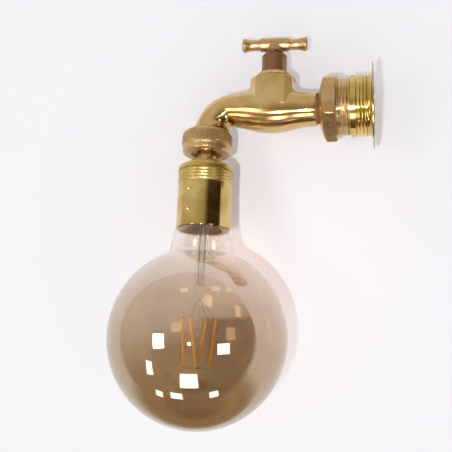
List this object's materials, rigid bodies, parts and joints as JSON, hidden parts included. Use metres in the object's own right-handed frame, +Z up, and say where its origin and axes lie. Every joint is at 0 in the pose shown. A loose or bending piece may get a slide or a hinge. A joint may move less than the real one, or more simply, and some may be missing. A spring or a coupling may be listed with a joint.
{
  "type": "wall light",
  "caption": "Wall light made from a brass screw-down tap with a crossbar handle, a union nut, a lampholder and a large amber globe lamp.",
  "frame": {"origin": "centre of the wall flange's back face", "axes": "+X runs into the wall, +Z is up along the tap's spindle and the lamp's axis, -Y faces the camera"},
  "size_m": [0.1836, 0.125, 0.2853],
  "materials": {
    "brown_brass": "satin, toned brown",
    "polished_brass": "polished",
    "sheet_brass": "bright spun sheet",
    "amber_glass": "amber, half mirrored",
    "clear_glass": "clear",
    "white_ceramic": "glazed",
    "black_glass": "opaque",
    "white_nylon": "moulded",
    "green_board": "board",
    "fibre": "fibre",
    "seal_rubber": "matt",
    "steel": "plain",
    "tinned": "tinned",
    "filament": "phosphor coat",
    "core_brown": "insulation",
    "core_blue": "insulation",
    "core_green": "insulation"
  },
  "bodies": {
    "fixed": {"wall_flange": "sheet_brass", "hex_reducer": "brown_brass", "inlet_washer": "fibre", "terminal_block": "white_nylon", "terminal_inserts": "tinned", "terminal_screws": "steel", "tap_body": "polished_brass", "bonnet_washer": "fibre", "bonnet": "brown_brass", "packing_ring": "seal_rubber", "gland_nut": "brown_brass", "union_nut": "brown_brass", "union_washer": "seal_rubber", "nipple": "brown_brass", "holder_locknut": "steel", "holder_cap": "sheet_brass", "holder_shell": "sheet_brass", "holder_insert": "white_ceramic", "screw_shell": "tinned", "centre_contact": "tinned", "live_terminal": "tinned", "neutral_terminal": "tinned", "earth_terminal": "tinned", "holder_terminal_screws": "steel", "live_core": "core_brown", "neutral_core": "core_blue", "earth_core": "core_green"},
    "valve": {"jumper": "brown_brass", "jumper_washer": "seal_rubber", "jumper_nut": "brown_brass"},
    "handle": {"spindle": "brown_brass", "handle_hub": "brown_brass", "handle_grip_left": "brown_brass", "handle_grip_right": "brown_brass", "handle_pin": "steel"},
    "lamp_tip": {"lamp_contact": "tinned"},
    "lamp": {"lamp_insulator": "black_glass", "lamp_cap": "tinned", "lamp_driver": "green_board", "lamp_glass": "amber_glass", "lamp_stem": "clear_glass", "lamp_filaments": "filament", "filament_supports": "steel", "lamp_leads": "steel"}
  },
  "joints": [
    {"name": "valve_lift", "type": "slide", "parent": "fixed", "child": "valve", "axis": [0, 0, 1], "range_m": [0, 0.006]},
    {"name": "handle_turn", "type": "hinge", "parent": "valve", "child": "handle", "pos_m": [-0.0718, 0, 0.0535], "axis": [0, 0, 1], "range_deg": [0, 864]},
    {"name": "lamp_drop", "type": "slide", "parent": "fixed", "child": "lamp_tip", "axis": [0, 0, -1], "range_m": [0, 0.0255]},
    {"name": "lamp_turn", "type": "hinge", "parent": "lamp_tip", "child": "lamp", "pos_m": [-0.1211, 0, -0.052], "axis": [0, 0, -1], "range_deg": [0, 2520]}
  ],
  "couplings": [
    {"joint": "valve_lift", "follows": "handle_turn", "m_per_rad": 0.00039789},
    {"joint": "lamp_drop", "follows": "lamp_turn", "m_per_rad": 0.00057757}
  ]
}
